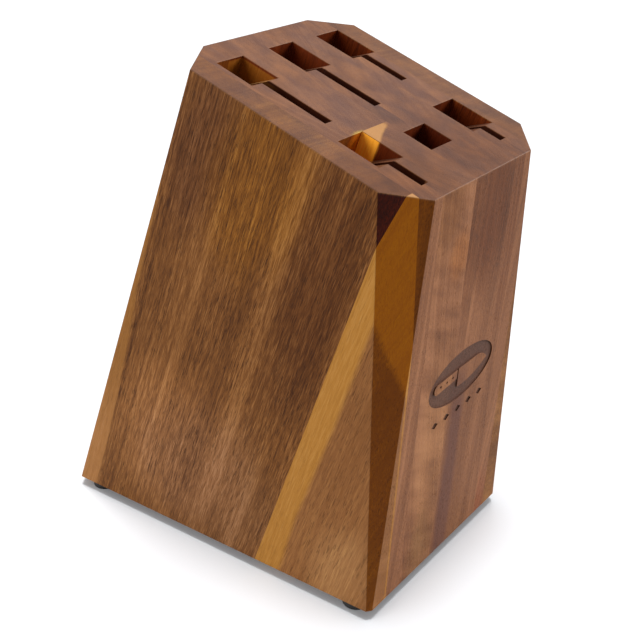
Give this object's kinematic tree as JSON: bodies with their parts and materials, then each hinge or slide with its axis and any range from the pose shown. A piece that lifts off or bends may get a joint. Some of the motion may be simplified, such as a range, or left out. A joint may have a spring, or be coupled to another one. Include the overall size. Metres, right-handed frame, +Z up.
{
  "type": "slotted knife block",
  "caption": "Leaning knife block laminated from hardwood boards, with ramped pockets and slits for blades, a plain well, and screwed rubber feet.",
  "frame": {"origin": "on the table, under the middle of the bounding box", "axes": "+Z up, the engraved front face looks along -Y, +X to the right seen from the front"},
  "size_m": [0.112, 0.1888, 0.2275],
  "materials": {
    "acacia": "satin oiled, end grain on top",
    "dark_acacia": "satin oiled, dark heartwood with fine pores",
    "golden_acacia": "satin oiled, golden sapwood band",
    "foot_rubber": "matte moulded rubber",
    "screw_steel": "plated steel, cross recess"
  },
  "bodies": {
    "root": {"left_side_panel_front_stave": "golden_acacia", "left_side_panel_rear_stave": "dark_acacia", "left_slot_board": "acacia", "left_core_front_stave": "acacia", "left_core_rear_stave": "acacia", "middle_slot_board": "acacia", "right_core_board": "acacia", "right_slot_board": "acacia", "right_inner_board": "acacia", "right_side_panel": "dark_acacia", "foot_front_left": "foot_rubber", "foot_front_right": "foot_rubber", "foot_rear_left": "foot_rubber", "foot_rear_right": "foot_rubber", "foot_screws": "screw_steel"}
  },
  "joints": []
}
